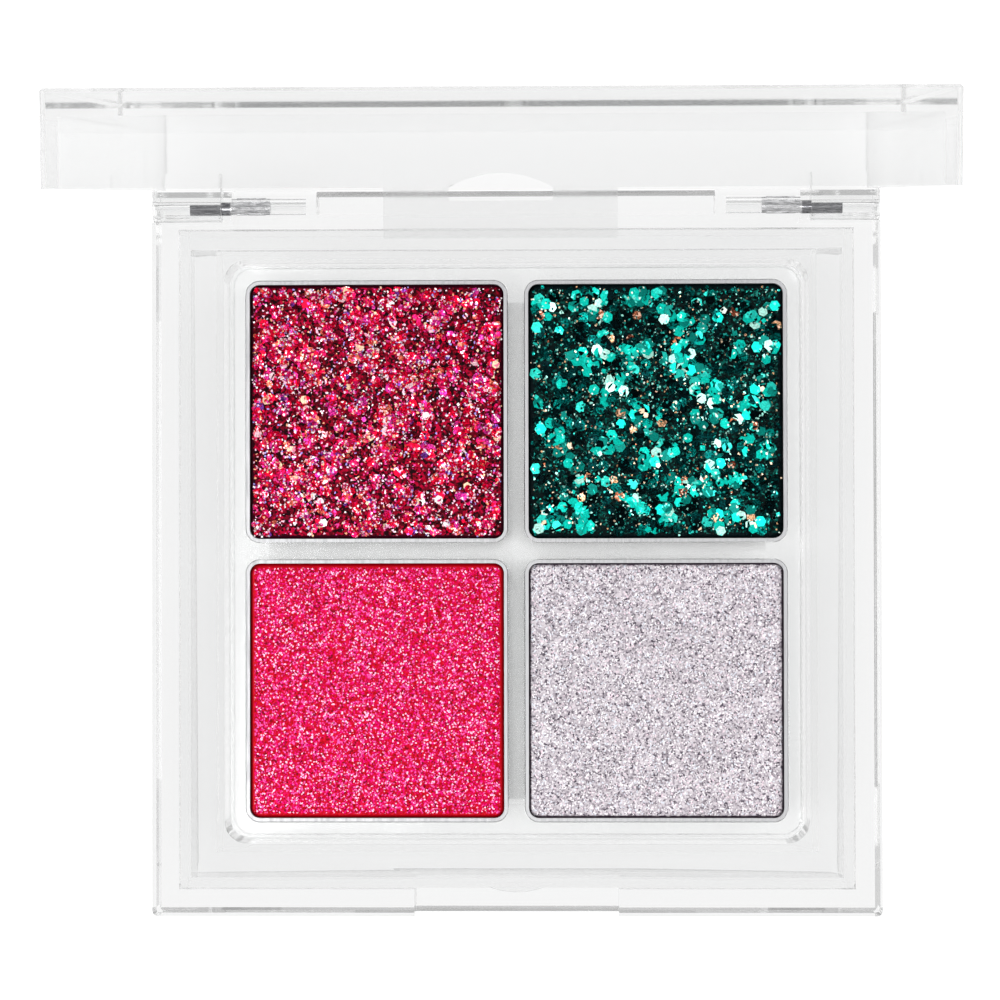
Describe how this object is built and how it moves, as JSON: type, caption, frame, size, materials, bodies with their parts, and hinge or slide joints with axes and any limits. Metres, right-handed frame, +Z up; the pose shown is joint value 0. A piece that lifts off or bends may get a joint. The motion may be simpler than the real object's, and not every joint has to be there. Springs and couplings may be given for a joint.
{
  "type": "eyeshadow palette",
  "caption": "Square clear plastic eyeshadow palette: pressed glitter and shimmer pans in a clear tray under a sloped frame, with a snap lid on knurled steel hinge pins.",
  "frame": {"origin": "centre of the base's flat underside", "axes": "+Z up out of the pans, +Y towards the hinge, -Y towards the latch, +X to the user's right; stored with the lid 84 degrees open"},
  "size_m": [0.065, 0.0721, 0.0697],
  "materials": {
    "clear_plastic": "polished, water clear",
    "tray_plastic": "clear, slightly frosted",
    "pan_aluminium": "pressed sheet",
    "pin_steel": "knurled, bright",
    "pink_glitter": "pressed hexagonal glitter flakes",
    "teal_glitter": "pressed hexagonal glitter flakes",
    "red_shimmer": "pressed powder with fine pink shimmer",
    "lilac_shimmer": "pressed powder with fine silver shimmer",
    "glue": "satin",
    "label_film": "matt printed film, blank"
  },
  "bodies": {
    "base": {"base_shell": "clear_plastic", "bezel_frame": "clear_plastic", "pan_tray": "tray_plastic", "hinge_pin_left": "pin_steel", "hinge_pin_right": "pin_steel", "pan_rear_left": "pan_aluminium", "pan_rear_right": "pan_aluminium", "pan_front_left": "pan_aluminium", "pan_front_right": "pan_aluminium", "pressed_pink_glitter": "pink_glitter", "pressed_teal_glitter": "teal_glitter", "pressed_red_shimmer": "red_shimmer", "pressed_lilac_shimmer": "lilac_shimmer", "pan_glue_rear_left": "glue", "pan_glue_rear_right": "glue", "pan_glue_front_left": "glue", "pan_glue_front_right": "glue", "underside_label": "label_film"},
    "lid": {"lid_shell": "clear_plastic"}
  },
  "joints": [
    {"name": "lid_hinge", "type": "hinge", "parent": "base", "child": "lid", "pos_m": [0, 0.03075, 0.0059], "axis": [-1, 0, 0], "range_deg": [-84, 13]}
  ]
}
